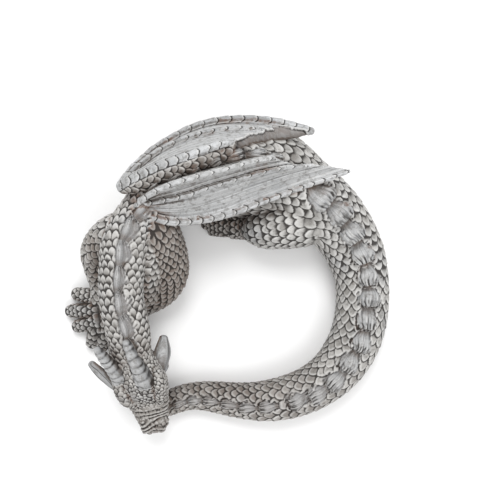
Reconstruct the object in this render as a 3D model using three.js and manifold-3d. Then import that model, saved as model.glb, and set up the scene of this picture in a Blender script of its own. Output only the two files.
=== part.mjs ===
// Curled dragon garden statue, cast in one piece in stone-coloured resin.
// The dragon crouches in an open ring: its neck reaches over its forepaws, its chin rests on the tip
// of its tail, and its folded wings lie along its back. Millimetres, +Z up, standing on z = 0,
// with the origin under the middle of its outline and the face towards -Y.
import * as THREE from 'three';
import { mergeVertices } from 'three/addons/utils/BufferGeometryUtils.js';
import Module from 'manifold-3d';

// Driving dimensions
const overallWidth = 256;                 // from the toes of the right forepaw to the outside of the tail
const shareCount = 256;                   // the pose and the carving are written in this many shares of the width
const share = overallWidth / shareCount;
const scaleRelief = 1.3 * share;          // how far a body scale stands proud at its free tip
const finPitch = 18.3 * share;            // spacing of the fins of the crest along the back
const finHeight = 8 * share;              // height of a fin over the back
const finRoot = 2 * share;                // how deep the foot of a fin stands in the back
const fullFinAt = 40 * share;             // half width of a form whose fins have their full size
const wingThickness = 3 * share;          // wing membrane
const wingSag = 2.4 * share;              // how deep the membrane hangs between two fingers of the wing
const fingerSegment = 21 * share;         // length of one cuff on a wing finger
const cuffDepth = 0.5 * share;            // step from one cuff to the next
const hornBaseRadius = 7.2 * share;
const hornTipRadius = 3 * share;
const hornRingDepth = 0.5 * share;
const earWidth = 13 * share;
const earThickness = 6 * share;
const toeRadius = 5.8 * share;
const eyeRadius = 3.2 * share;
// Proportions and counts
const scaleLean = 0.3;                    // how far behind its middle a scale is highest, in rows
const scaleAspect = 1.08;                 // row pitch of the scales over their width
const finLean = 0.55;                     // how far a fin leans back over its height
const finLength = 0.6;                    // half length of a fin's foot over the pitch
const smallestFin = 0.45;                 // size of a fin where the form under it runs out
const cuffLength = 0.86;                  // where the next cuff starts, over the length of one
const hornRings = 6;
const headRoll = 6;                       // degrees

// Tables are written in shares of the overall width. This turns them into millimetres.
// Every row of a form is x, y, z of its middle, half width, half height, and roll in degrees.
const sizesInRow = 5;
const inMm = (table) => table.map((entry) => (Array.isArray(entry[0])
  ? inMm(entry)
  : entry.map((value, i) => (i < sizesInRow ? value * share : value))));

const spine = inMm([
  [-70.5, -68.5, 50, 12, 12, 0],
  [-70.5, -53, 55, 14.5, 14, 0],
  [-72.5, -38, 59.5, 15.5, 15.5, 0],
  [-75.5, -23.5, 62, 15.5, 16.5, 0],
  [-76.5, -9, 62.5, 15.5, 17, 0],
  [-75.5, 6, 61.5, 16, 18, 0],
  [-74, 21, 58.5, 16.8, 20, 0],
  [-68.5, 34.5, 53.5, 16.8, 23.5, 0],
  [-58.5, 47.5, 47, 19, 28, 0],
  [-47.5, 61.5, 41, 25, 33, 0],
  [-27.5, 73.5, 37.5, 28.5, 36.5, 0],
  [-3.5, 80.5, 36.5, 29.8, 38.2, 0],
  [21, 83, 36, 29.5, 37.5, 0],
  [41, 75.5, 34, 28, 35.5, 0],
  [59.5, 61.5, 31, 26.5, 32.5, 0],
  [78, 47, 27, 25, 28.5, 0],
  [91, 32, 24, 23, 25.5, 0],
  [100.5, 14.5, 21.5, 21.5, 23, -1],
  [105.5, -6, 19.5, 19.9, 21, -2],
  [105.5, -29, 19, 19.6, 20.5, -3],
  [101, -49.5, 18.7, 19.4, 20.2, -4],
  [92, -67, 18, 18.8, 19.5, -5],
  [79.5, -81, 17, 17.6, 18.5, -7],
  [64, -91, 16, 16.9, 17.5, -8],
  [46, -97.5, 15.2, 16.2, 16.7, -9],
  [28, -100.3, 14, 14.8, 15.4, -10],
  [10.5, -100, 12.5, 13.1, 13.9, -10],
  [-5.5, -98, 11.3, 11.7, 12.7, -10],
  [-20, -96.8, 9.8, 10.4, 11.2, -10],
  [-32, -98, 9.2, 9.6, 10.5, -10],
  [-43.5, -102, 8.8, 9.2, 10, -8],
  [-54.5, -107.5, 7.8, 7.6, 8.8, -4],
  [-62.5, -112.5, 6, 5, 6, 0],
]);
// The back rises to a ridge between the wings.
const backRidge = inMm([
  [-60, 51, 60, 11, 12], [-46, 62, 68, 12, 14], [-28, 72, 72, 12, 15], [-9, 78, 73, 13, 15],
  [10, 82, 71, 12, 14], [28, 82, 65, 11, 11], [44, 77, 58, 10, 8],
]);
// Stretches of the spine by station number, and how many scales go round the body on each.
const scaleStretches = [
  { from: 0, to: 7.2, around: 10 },
  { from: 7.2, to: 9, around: 12 },
  { from: 9, to: 15.5, around: 13 },
  { from: 15.5, to: 23, around: 12 },
  { from: 23, to: 29, around: 10 },
  { from: 29, to: 32, around: 8 },
];
// Stretches that carry fins, by station number, with the width of a fin over the form's half width.
const finStretches = [
  { form: spine, from: 1.3, to: 7.4, width: 0.2 },
  { form: backRidge, from: 0.9, to: 5.2, width: 0.42 },
  { form: spine, from: 14.2, to: 24.3, width: 0.46 },
  { form: spine, from: 24.7, to: 30.5, width: 0.3 },
];

// Outer and inner wing. Fingers run from the wrist: the leading one, the middle one and the top one,
// each with its radius at the wrist and at its tip. Between two fingers the edge is cut back in an arc.
const wings = [
  {
    fingers: inMm([
      [[-76, 63.5, 71], [-68.5, 75, 66], [-61, 83, 62], [-54, 90, 59], [-44, 97, 57], [-28, 106, 54.5],
        [-11.5, 111.5, 54], [5, 113.5, 54], [22, 113, 56], [39, 110, 60], [51, 106, 64], [61, 102, 68]],
      [[-75, 64, 73], [-61, 78.5, 71], [-45.5, 89.5, 71], [-24.5, 98, 72], [-4, 102.5, 73],
        [11, 103.5, 74], [24, 102, 75]],
      [[-73, 63.5, 76], [-59, 68.5, 83], [-44, 74.5, 89], [-28, 80, 93], [-12.5, 85.5, 95], [0, 90, 93]],
    ]),
    radii: inMm([[2.2, 2.6], [1.8, 1.2], [3.4, 2.2]]),
    cutBack: [{ depth: 0.2, skew: 0.6 }, { depth: 0.09, skew: 1 }],
    arm: inMm([[-74, 62, 71, 5, 5], [-64.5, 64.5, 74, 7, 8], [-53.5, 68, 76, 8.5, 11], [-38, 74, 79, 9.5, 13],
      [-20, 80, 80, 10, 14], [2, 87, 76, 10, 13], [24, 98, 67, 8, 8], [42, 101, 63, 6, 5], [57, 102, 66, 4, 4]]),
  },
  {
    fingers: inMm([
      [[-62.5, 48, 75], [-59, 42.5, 71], [-51.5, 39.5, 68], [-38, 37, 65], [-20, 38, 63.5],
        [2.5, 43, 63.5], [19.5, 49.5, 64], [35.5, 55, 64.5], [54.5, 62, 65.5], [74.5, 68.5, 68], [87.5, 73, 71]],
      [[-62, 48.5, 76], [-48, 50.5, 80], [-28.5, 54, 85], [-13.5, 59, 87], [8.5, 65.5, 87], [26, 70.5, 85],
        [42.5, 74, 82], [54, 75.5, 79]],
      [[-61.5, 49.5, 77], [-54, 54, 85], [-42.5, 59, 92], [-26.5, 64, 96], [-10.5, 68, 98], [2.5, 71.5, 98],
        [18, 76, 96], [33, 79.5, 91]],
    ]),
    radii: inMm([[3.4, 1.2], [1.7, 1.1], [1.7, 1.1]]),
    cutBack: [{ depth: 0, skew: 1 }, { depth: 0.05, skew: 1 }],
    arm: inMm([[-60, 50, 70, 6, 5], [-50, 52, 70, 8, 8], [-36, 53, 70, 9, 10], [-18, 57, 69, 9, 12],
      [4, 62.5, 66, 7.5, 12], [24, 67.5, 65, 7.5, 10], [42, 71, 63, 7, 8], [60, 70, 64, 6, 5], [76, 70.5, 67, 4, 2.5]]),
  },
];

const trunkForms = inMm([
  // breast and throat, which fill the space under the neck
  [[-60, 44, 36, 14, 30], [-72, 31, 34, 17, 32], [-76, 8, 29, 18, 30], [-77, -14, 24, 15, 25],
    [-77, -32, 20, 13, 21], [-73, -54, 16, 11, 17], [-68, -76, 13, 10, 14], [-64, -96, 9, 8, 10]],
  // shoulder between the neck and the inner foreleg
  [[-62, 42, 50, 15, 20], [-60, 24, 44, 15, 21], [-60, 4, 36, 14, 20], [-63, -14, 27, 12, 18]],
  // flank between the inner hind leg and the wing
  [[66, 58, 27, 16, 22], [44, 58, 27, 20, 25], [20, 61, 27, 18, 25], [-6, 60, 27, 14, 24], [-26, 56, 28, 10, 20]],
]);
const limbs = inMm([
  [[-69, 37, 54, 10, 13], [-79, 31.5, 53, 13.5, 15.5], [-90, 25, 44, 13.5, 14.5], [-98, 16, 34, 12.3, 12.5],
    [-99, 3, 25, 9.8, 10], [-98, -9, 17, 8.2, 9], [-98, -21, 10, 9, 9]],
  [[-60, 44, 52, 14, 15], [-55, 36, 53, 17, 16], [-51, 25, 46, 17.5, 17], [-48, 12, 37, 18, 16],
    [-48, -1, 28, 17.5, 15], [-55, -12, 21, 15.5, 13], [-66, -21, 16, 12, 11],
    [-78, -30, 12, 10, 9.5], [-89, -37, 10, 10, 9]],
  [[78, 46, 28, 15, 15], [62, 41, 31, 19, 20.5], [44, 38, 30, 18.5, 22], [28, 35, 25, 15.5, 18.5],
    [20.5, 34.5, 20, 11, 12]],
  [[26, 33, 16, 11, 11], [18, 37, 10, 10, 10], [6, 38.5, 8.5, 10.5, 8]],
  [[60, 80, 30, 14, 16], [46, 90, 31, 15.5, 20], [35, 98.5, 28, 16.5, 19], [22, 101.5, 23, 13, 15]],
  [[24, 101, 14, 10, 11], [14, 105, 9, 9.5, 9], [2, 107, 8, 9.5, 7.5]],
]);
// Each toe runs from inside the paw to its tip.
const toes = inMm([
  [[-99, -19, 8], [-110, -17.5, 8], [-120.5, -16, 5]],
  [[-100, -28, 8.5], [-113, -29, 8.5], [-125.5, -30, 5]],
  [[-99, -36, 8], [-110, -39.5, 8], [-120, -42.5, 5]],
  [[-98, -38, 8], [-104.5, -47, 8], [-107.5, -56.5, 5]],
  [[-92, -40, 8.5], [-97, -49, 8.5], [-99, -59, 5]],
  [[-86, -40, 8.5], [-88.5, -53, 8.5], [-88.5, -66, 5]],
  [[8, 43, 7], [-2, 45.5, 7], [-14, 46.5, 4]],
  [[6, 39, 7.5], [-4, 39.5, 7.5], [-17, 39.5, 4]],
  [[8, 36, 7], [0, 35, 7], [-12, 35, 4]],
  [[4, 103, 7], [-5, 101, 7], [-16, 99.5, 4]],
  [[2, 107, 7.5], [-8, 107, 7.5], [-20, 106.5, 4]],
  [[4, 110, 7], [-4, 112, 6.5], [-15, 113, 4]],
]);

const horns = inMm([
  [[-57.5, -85, 46], [-61, -75.5, 59], [-66, -62, 69.5], [-70.6, -49, 76.5]],
  [[-76.5, -82, 46], [-81, -72, 58], [-87, -61.5, 68], [-91.3, -54.5, 74]],
]);
// Each ear opens towards its own up direction.
const ears = [
  { rows: inMm([[-53, -80, 38], [-50, -69, 45], [-47.5, -58, 49], [-46.5, -47.5, 51.5]]), up: [0.35, 0.2, 1] },
  { rows: inMm([[-79, -89, 38], [-86.5, -81.5, 43.5], [-94.5, -73, 47.5], [-100, -67, 50]]), up: [-0.8, -0.5, 0.7] },
];
const earWidths = [0.6, 1, 1, 0.55];
const earThicknesses = [1.2, 1.05, 0.9, 0.75];
// A toe's sizes over its radius: at its root, its knuckle and its tip.
const toeWidths = [1, 1, 0.75];
const toeHeights = [1, 1.1, 0.7];
// A form's rounded end: how far out its last ring and its tip stand over the form's half size, and the
// size of that ring.
const capRingReach = 0.55;
const capRingSize = 0.7;
const capTipReach = 0.8;
// A wing's membrane: rings from wrist to tip, panels across it, and how its sag grows away from the wrist.
const membraneRings = 8;
const membranePanels = 6;
const sagAtWrist = 0.35;
const sagGrowth = 3;

// The head is written in its own frame: forwards to the nose, to the dragon's right, and up.
const nape = new THREE.Vector3(-68, -62, 52).multiplyScalar(share);
const nose = new THREE.Vector3(-54, -120.5, 24).multiplyScalar(share);
const skull = inMm([
  [-8, 0, 0, 12, 12], [2, 0, 1, 15, 13.5], [12, 0, 1, 18, 14], [22, 0, 0, 19, 13.5], [31, 0, -1, 18, 12],
  [39, 0, -1, 15.5, 9.5], [47, 0, -0.5, 13, 7.8], [55, 0, 0, 11.3, 7.2], [61, 0, 0.5, 10, 6.5],
]);
const jaw = inMm([
  [4, 0, -9, 13, 6], [18, 0, -11, 15, 6.5], [32, 0, -10, 13.5, 5.5], [45, 0, -9, 10.5, 4.5], [57, 0, -8, 8, 3.5],
]);
const brow = inMm([[9, 15, 8.5, 3.5, 3.5], [20, 15, 10.5, 4.2, 4], [30, 13, 9.5, 4, 3.6], [38, 9.5, 6, 2.5, 2.5]]);
const nostril = inMm([[54, 5, 5.5, 3, 2.6], [59, 5.5, 6, 3.4, 3.2], [63, 5, 4.5, 2.6, 2.6]]);
const cheek = inMm([[16, 16, -6, 5, 6], [6, 20, -6, 3.6, 4.2], [-4, 23, -5, 1.2, 1.5]]);
const [eye] = inMm([[32, 14.5, 3]]);

const wasm = await Module();
wasm.setup();
const UP = new THREE.Vector3(0, 0, 1);

// The solid inside a closed surface given as points and triangles.
function solid(points, triangles) {
  const surface = new wasm.Mesh({
    numProp: 3,
    vertProperties: new Float32Array(points.flatMap((p) => [p.x, p.y, p.z])),
    triVerts: new Uint32Array(triangles.flat()),
  });
  return new wasm.Manifold(surface);
}

// The solid of a three.js geometry.
function solidOf(geometry) {
  const bare = geometry.clone();
  bare.deleteAttribute('normal');
  bare.deleteAttribute('uv');
  const merged = mergeVertices(bare, 1e-4);
  return new wasm.Manifold(new wasm.Mesh({
    numProp: 3,
    vertProperties: merged.attributes.position.array,
    triVerts: new Uint32Array(merged.index.array),
  }));
}

function fuse(solids) {
  return solids.reduce((all, next) => all.add(next));
}

// A smooth run through the rows of a form: at(t) gives place, sizes and frame, with t in rows.
function run(rows, up = UP) {
  const last = rows.length - 1;
  const line = new THREE.CatmullRomCurve3(
    rows.map(([x, y, z]) => new THREE.Vector3(x, y, z)), false, 'catmullrom', 0.5);
  const sizes = new THREE.CatmullRomCurve3(
    rows.map(([, , , wide = 1, high = 1, roll = 0]) => new THREE.Vector3(wide, high, roll)), false, 'catmullrom', 0.5);
  return {
    last,
    at(t) {
      const along = line.getTangent(t / last);
      const side = new THREE.Vector3().crossVectors(along, up).normalize();
      const top = new THREE.Vector3().crossVectors(side, along).normalize();
      const { x: halfWidth, y: halfHeight, z: roll } = sizes.getPoint(t / last);
      const turn = THREE.MathUtils.degToRad(roll);
      side.applyAxisAngle(along, turn);
      top.applyAxisAngle(along, turn);
      return { middle: line.getPoint(t / last), along, side, top, halfWidth, halfHeight };
    },
  };
}

// One ring of points round a form, with an angle of 0 at its side and 90 degrees at its top.
function ring(place, around, offset, swell = 0, shrink = 1) {
  return Array.from({ length: around }, (_, j) => {
    const angle = (2 * Math.PI * (j + offset)) / around;
    return place.middle.clone()
      .addScaledVector(place.side, (place.halfWidth * shrink + swell) * Math.cos(angle))
      .addScaledVector(place.top, (place.halfHeight * shrink + swell) * Math.sin(angle));
  });
}

// Collects rings into one closed surface.
class Skin {
  points = [];
  triangles = [];

  add(points) {
    const first = this.points.length;
    this.points.push(...points);
    return points.map((_, i) => first + i);
  }

  // Joins two rings with the same number of points.
  band(a, b) {
    a.forEach((_, j) => {
      const k = (j + 1) % a.length;
      this.triangles.push([a[j], a[k], b[j]], [a[k], b[k], b[j]]);
    });
  }

  // Joins two rings that have different numbers of points or are turned against each other.
  zip(a, b, offsetA, offsetB) {
    let i = 0;
    let j = 0;
    while (i < a.length || j < b.length) {
      const nextA = (i + 1 + offsetA) / a.length;
      const nextB = (j + 1 + offsetB) / b.length;
      const p = a[i % a.length];
      const q = b[j % b.length];
      if (j >= b.length || (i < a.length && nextA < nextB)) {
        this.triangles.push([p, a[(i + 1) % a.length], q]);
        i += 1;
      } else {
        this.triangles.push([p, b[(j + 1) % b.length], q]);
        j += 1;
      }
    }
  }

  // Closes the first and the last ring to a point.
  close(first, start, last, end) {
    const [s] = this.add([start]);
    const [e] = this.add([end]);
    first.forEach((_, j) => this.triangles.push([first[(j + 1) % first.length], first[j], s]));
    last.forEach((_, j) => this.triangles.push([last[j], last[(j + 1) % last.length], e]));
  }

  solid() {
    const made = solid(this.points, this.triangles);
    return made.volume() > 0 ? made : solid(this.points, this.triangles.map(([a, b, c]) => [a, c, b]));
  }
}

// A smooth closed form with a ring of points at each of its rows and rounded ends.
function form(rows, { around = 10, up = UP } = {}) {
  const path = run(rows, up);
  const skin = new Skin();
  const places = rows.map((_, i) => path.at(i));
  const bulge = (place, reach, shrink) => ring({
    ...place,
    middle: place.middle.clone().addScaledVector(place.along, reach * Math.min(place.halfWidth, place.halfHeight)),
  }, around, 0, 0, shrink);
  const [first, last] = [places[0], places.at(-1)];
  const start = skin.add(bulge(first, -capRingReach, capRingSize));
  const middle = places.map((place) => skin.add(ring(place, around, 0)));
  const end = skin.add(bulge(last, capRingReach, capRingSize));
  const all = [start, ...middle, end];
  all.slice(1).forEach((r, i) => skin.band(all[i], r));
  skin.close(start, bulge(first, -capTipReach, 0)[0], end, bulge(last, capTipReach, 0)[0]);
  return skin.solid();
}

// Where the rows of scales stand along a stretch: spaced by the width of one scale there.
function scaleRows(path, { from, to, around }) {
  const rows = [];
  let t = from;
  while (t < to) {
    rows.push(t);
    const { halfWidth, halfHeight } = path.at(t);
    const scaleWidth = (Math.PI * (halfWidth + halfHeight)) / around;
    t += (scaleWidth * scaleAspect) / lengthPerRow(path, t);
  }
  return rows;
}

// Neck, trunk and tail in one skin. Each scale is a low four-sided point that rises towards the tail.
// Odd rows are turned by half a scale, so that every scale lies between two of the row before.
function scaledBody() {
  const path = run(spine);
  const skin = new Skin();
  let first = null;
  let previous = null;
  for (const stretch of scaleStretches) {
    const { around } = stretch;
    const rows = scaleRows(path, stretch);
    const offset = (r) => (r % 2) / 2;
    const low = rows.map((t, r) => skin.add(ring(path.at(t), around, offset(r))));
    const corner = (r, j) => low[r][(j + around) % around];
    if (previous) skin.zip(previous.ring, low[0], previous.offset, 0);
    else first = low[0];
    for (let r = 0; r + 1 < rows.length; r += 1) {
      const t = rows[r] + scaleLean * (rows[r + 1] - rows[r]);
      const middles = ring(path.at(t), around, 0.5 + offset(r), scaleRelief);
      for (let j = 0; j < around; j += 1) {
        const ends = r % 2 ? j + 1 : j;
        const [left, right, tip] = [corner(r, j), corner(r, j + 1), corner(r + 1, ends)];
        if (r === 0) {
          skin.triangles.push([left, right, tip]);
        } else {
          const root = corner(r - 1, ends);
          const [peak] = skin.add([middles[j]]);
          skin.triangles.push([root, right, peak], [right, tip, peak], [tip, left, peak], [left, root, peak]);
        }
      }
    }
    const end = rows.length - 1;
    for (let j = 0; j < around; j += 1) {
      skin.triangles.push([corner(end, j + 1), corner(end, j), corner(end - 1, end % 2 ? j + 1 : j)]);
    }
    previous = { ring: low[end], offset: offset(end) };
  }
  skin.close(first, path.at(0).middle, previous.ring, path.at(path.last).middle);
  return skin.solid();
}

// How far a path runs for each of its rows near t.
function lengthPerRow(path, t) {
  const step = 0.1;
  const start = Math.min(t, path.last - step);
  return path.at(start).middle.distanceTo(path.at(start + step).middle) / step;
}

// The crest: a row of fins that lean towards the tail.
function crest() {
  const fins = [];
  const lean = new THREE.Matrix4().set(1, 0, 0, 0, 0, 1, 0, 0, 0, finLean, 1, 0, 0, 0, 0, 1);
  for (const { form: rows, from, to, width } of finStretches) {
    const path = run(rows);
    let t = from;
    while (t < to) {
      const place = path.at(t);
      const size = Math.min(1, smallestFin + place.halfWidth / fullFinAt);
      const cone = new THREE.ConeGeometry(1, 1, 4, 1).translate(0, 0.5, 0).applyMatrix4(lean);
      const stand = new THREE.Matrix4().makeBasis(place.side.clone().negate(), place.top, place.along)
        .scale(new THREE.Vector3(place.halfWidth * width, finHeight * size + finRoot, finPitch * size * finLength));
      stand.setPosition(place.middle.clone().addScaledVector(place.top, place.halfHeight - finRoot));
      fins.push(solidOf(cone.applyMatrix4(stand)));
      t += (finPitch * size) / lengthPerRow(path, t);
    }
  }
  return fins;
}

// One folded wing: a thin sagging membrane hung on three fingers that spread from the wrist.
function wing({ fingers, radii, cutBack, arm }) {
  const steps = membraneRings;
  const across = membranePanels;
  const paths = fingers.map((rows) => run(rows));
  const skin = new Skin();
  // v runs from the leading finger (0) over the middle one (0.5) to the top one (1).
  const point = (u, v) => {
    const gap = Math.min(Math.floor(v * 2), 1);
    const local = v * 2 - gap;
    const { depth, skew } = cutBack[gap];
    const reach = 1 - depth * Math.sin(Math.PI * local ** skew);
    const [a, b] = [paths[gap], paths[gap + 1]].map((p) => p.at(u * reach * p.last).middle);
    return { place: a.lerp(b, local), sag: 1 - (2 * local - 1) ** 2 };
  };
  const sheetRing = (u) => {
    const middle = Array.from({ length: across + 1 }, (_, i) => point(u, i / across));
    const along = point(Math.min(u + 0.05, 1), 0.5).place.sub(point(Math.max(u - 0.05, 0), 0.5).place);
    const face = new THREE.Vector3().crossVectors(along, middle[across].place.clone().sub(middle[0].place)).normalize();
    if (face.z < 0) face.negate();
    const depth = wingSag * Math.min(1, sagAtWrist + sagGrowth * u);
    const outer = middle.map(({ place, sag }) => place.clone().addScaledVector(face, -sag * depth));
    const inner = middle.map(({ place, sag }) => place.clone().addScaledVector(face, -sag * depth - wingThickness));
    return skin.add([...outer, ...inner.reverse()]);
  };
  const rings = Array.from({ length: steps + 1 }, (_, i) => sheetRing(i / steps));
  rings.slice(1).forEach((r, i) => skin.band(rings[i], r));
  const end = (list, flip) => {
    for (let i = 0; i < across; i += 1) {
      const [a, b, c, d] = [list[i], list[i + 1], list[2 * across - i], list[2 * across + 1 - i]];
      skin.triangles.push(...(flip ? [[a, c, b], [a, d, c]] : [[a, b, c], [a, c, d]]));
    }
  };
  end(rings[0], true);
  end(rings[steps], false);
  const bones = fingers.map((rows, f) => {
    const path = run(rows);
    const length = rows.slice(1).reduce((sum, _, i) => sum + path.at(i).middle.distanceTo(path.at(i + 1).middle), 0);
    const thick = rows.map((r, i) => {
      const radius = THREE.MathUtils.lerp(...radii[f], i / (rows.length - 1));
      return [...r, radius, radius];
    });
    return ribbed(thick, Math.round(length / fingerSegment), cuffDepth, 4);
  });
  return [skin.solid(), ...bones, form(arm, { around: 6 })];
}

// A form whose surface steps out ring by ring, like the sheath of a horn or a wing finger.
function ribbed(rows, ribs, depth, around) {
  const path = run(rows);
  const skin = new Skin();
  const rings = [];
  for (let i = 0; i < ribs; i += 1) {
    const start = path.at((i / ribs) * path.last);
    const end = path.at(((i + cuffLength) / ribs) * path.last);
    rings.push(skin.add(ring(start, around, 0)), skin.add(ring(end, around, 0, depth)));
  }
  const tip = path.at(path.last);
  rings.push(skin.add(ring(tip, around, 0, 0, 0.75)));
  rings.slice(1).forEach((r, i) => skin.band(rings[i], r));
  skin.close(rings[0], path.at(0).middle, rings.at(-1),
    tip.middle.clone().addScaledVector(tip.along, tip.halfWidth * 0.6));
  return skin.solid();
}

function toe(rows) {
  return form(rows.map((r, i) => [...r, toeRadius * toeWidths[i], toeRadius * toeHeights[i]]), { around: 5 });
}

// The head's own frame in the statue.
function headFrame() {
  const forwards = nose.clone().sub(nape).normalize();
  const right = new THREE.Vector3().crossVectors(forwards, UP).normalize();
  const top = new THREE.Vector3().crossVectors(right, forwards);
  const roll = THREE.MathUtils.degToRad(headRoll);
  right.applyAxisAngle(forwards, roll);
  top.applyAxisAngle(forwards, roll);
  return { forwards, right, top };
}

function head() {
  const { forwards, right, top } = headFrame();
  const place = ([f, s, u, ...sizes], side = 1) => {
    const p = nape.clone().addScaledVector(forwards, f)
      .addScaledVector(right, s * side).addScaledVector(top, u);
    return [p.x, p.y, p.z, ...sizes];
  };
  const parts = [
    form(skull.map((r) => place(r)), { around: 10, up: top }),
    form(jaw.map((r) => place(r)), { around: 8, up: top }),
  ];
  for (const side of [1, -1]) {
    const mirrored = (rows) => rows.map((r) => place(r, side));
    const eyeball = new THREE.SphereGeometry(eyeRadius, 7, 5);
    const [x, y, z] = place(eye, side);
    eyeball.translate(x, y, z);
    parts.push(
      form(mirrored(brow), { around: 5, up: top }),
      form(mirrored(nostril), { around: 5, up: top }),
      form(mirrored(cheek), { around: 5, up: top }),
      solidOf(eyeball),
    );
  }
  return parts;
}

function hornsAndEars() {
  const tapered = horns.map((rows) => rows.map((r, i) => {
    const radius = THREE.MathUtils.lerp(hornBaseRadius, hornTipRadius, i / (rows.length - 1));
    return [...r, radius, radius];
  }));
  return [
    ...tapered.map((rows) => ribbed(rows, hornRings, hornRingDepth, 6)),
    ...ears.map(({ rows, up }) => form(
      rows.map((r, i) => [...r, (earWidth / 2) * earWidths[i], (earThickness / 2) * earThicknesses[i]]),
      { around: 5, up: new THREE.Vector3(...up).normalize() })),
  ];
}

// Everything below the floor is cut away, so that belly, paws and tail stand flat.
function belowFloor() {
  const size = overallWidth * 2;
  const slab = new THREE.BoxGeometry(size, size, size);
  slab.translate(0, 0, -size / 2);
  return solidOf(slab);
}

const pieces = [
  scaledBody(),
  ...crest(),
  ...[backRidge, ...trunkForms].map((rows) => form(rows, { around: 7 })),
  ...limbs.map((rows) => form(rows, { around: 8 })),
  ...toes.map(toe),
  ...wings.flatMap(wing),
  ...head(),
  ...hornsAndEars(),
];
const casting = fuse(pieces).subtract(belowFloor());

const surface = casting.getMesh();
const geometry = new THREE.BufferGeometry();
geometry.setAttribute('position', new THREE.BufferAttribute(surface.vertProperties, 3));
geometry.setIndex(new THREE.BufferAttribute(surface.triVerts, 1));
geometry.computeVertexNormals();

const greyResin = new THREE.MeshStandardMaterial({ color: 0x9a9a98, roughness: 0.82, metalness: 0 });
const dragon = new THREE.Mesh(geometry, greyResin);
dragon.name = 'dragon';

const box = new THREE.Box3().setFromObject(dragon);
const middle = box.getCenter(new THREE.Vector3());
dragon.position.set(-middle.x, -middle.y, 0);

const statue = new THREE.Group();
statue.add(dragon);
export default statue;
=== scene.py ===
# Curled dragon garden statue, cast in stone-grey resin with brown patina in its hollows.
# The forms are in millimetres. Each group of them is fused into one closed skin, and the scales, horn
# rings, wing folds and wrinkles are then carved into that skin.

import math
from types import SimpleNamespace

import bmesh
import bpy
import numpy as np
from mathutils import Matrix, Vector
from mathutils.bvhtree import BVHTree
from mathutils.kdtree import KDTree


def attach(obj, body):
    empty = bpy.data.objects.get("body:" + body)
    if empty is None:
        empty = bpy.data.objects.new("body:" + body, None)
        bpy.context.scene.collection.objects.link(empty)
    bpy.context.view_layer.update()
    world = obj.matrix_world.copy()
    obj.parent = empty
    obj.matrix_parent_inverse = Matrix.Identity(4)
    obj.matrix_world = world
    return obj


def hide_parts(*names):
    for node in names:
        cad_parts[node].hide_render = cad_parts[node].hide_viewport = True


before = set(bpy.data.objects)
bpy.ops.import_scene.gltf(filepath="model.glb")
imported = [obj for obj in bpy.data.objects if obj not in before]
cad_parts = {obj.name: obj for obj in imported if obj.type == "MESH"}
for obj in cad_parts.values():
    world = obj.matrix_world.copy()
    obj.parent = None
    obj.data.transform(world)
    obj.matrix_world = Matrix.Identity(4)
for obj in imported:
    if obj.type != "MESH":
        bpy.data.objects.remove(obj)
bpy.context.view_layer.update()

MM = 0.001
UP = (0.0, 0.0, 1.0)
# The forms are written round the middle of the ring, which stands here on the floor.
RING_MIDDLE = np.array([0.891, 2.507, 0.0])
draw = np.random.default_rng(7)
scene = bpy.context.scene

# A skin's cells in millimetres, how often it is evened out, and its most triangles.
TRUNK_FINENESS = (0.66, 3, 190000)
FORELEGS_FINENESS = (0.55, 4, 160000)
HIND_FEET_FINENESS = (0.6, 4, 60000)
WING_FINENESS = (0.5, 3, 120000)
HEAD_FINENESS = (0.42, 4, 130000)
SIDES = 28
STEPS = 24

# Rows of a form: x, y, z of its middle, half width, half height, and roll in degrees if it has any.
SPINE = [
    (-70.5, -68.5, 50, 12, 12), (-70.5, -53, 55, 14.5, 14), (-72.5, -38, 59.5, 15.5, 15.5),
    (-75.5, -23.5, 62, 15.5, 16.5), (-76.5, -9, 62.5, 15.5, 17), (-75.5, 6, 61.5, 16, 18),
    (-74, 21, 58.5, 16.8, 20), (-68.5, 34.5, 53.5, 16.8, 23.5), (-58.5, 47.5, 47, 19, 28),
    (-47.5, 61.5, 41, 25, 33), (-27.5, 73.5, 37.5, 28.5, 36.5), (-3.5, 80.5, 36.5, 29.8, 38.2),
    (21, 83, 36, 29.5, 37.5), (41, 75.5, 34, 28, 35.5), (59.5, 61.5, 31, 26.5, 32.5),
    (78, 47, 27, 25, 28.5), (91, 32, 24, 23, 25.5), (100.5, 14.5, 21.5, 21.5, 23, -1),
    (105.5, -6, 19.5, 19.9, 21, -2), (105.5, -29, 19, 19.6, 20.5, -3), (101, -49.5, 18.7, 19.4, 20.2, -4),
    (92, -67, 18, 18.8, 19.5, -5), (79.5, -81, 17, 17.6, 18.5, -7), (64, -91, 16, 16.9, 17.5, -8),
    (46, -97.5, 15.2, 16.2, 16.7, -9), (28, -100.3, 14, 14.8, 15.4, -10),
    (10.5, -100, 12.5, 13.1, 13.9, -10), (-5.5, -98, 11.3, 11.7, 12.7, -10),
    (-20, -96.8, 9.8, 10.4, 11.2, -10), (-32, -98, 9.2, 9.6, 10.5, -10), (-43.5, -102, 8.8, 9.2, 10, -8),
    (-54.5, -107.5, 7.8, 7.6, 8.8, -4), (-62.5, -112.5, 6, 5, 6),
]
BACK_RIDGE = [
    (-60, 51, 60, 11, 12), (-46, 62, 68, 12, 14), (-28, 72, 72, 12, 15), (-9, 78, 73, 13, 15),
    (10, 82, 71, 12, 14), (28, 82, 65, 11, 11), (44, 77, 58, 10, 8),
]
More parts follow.
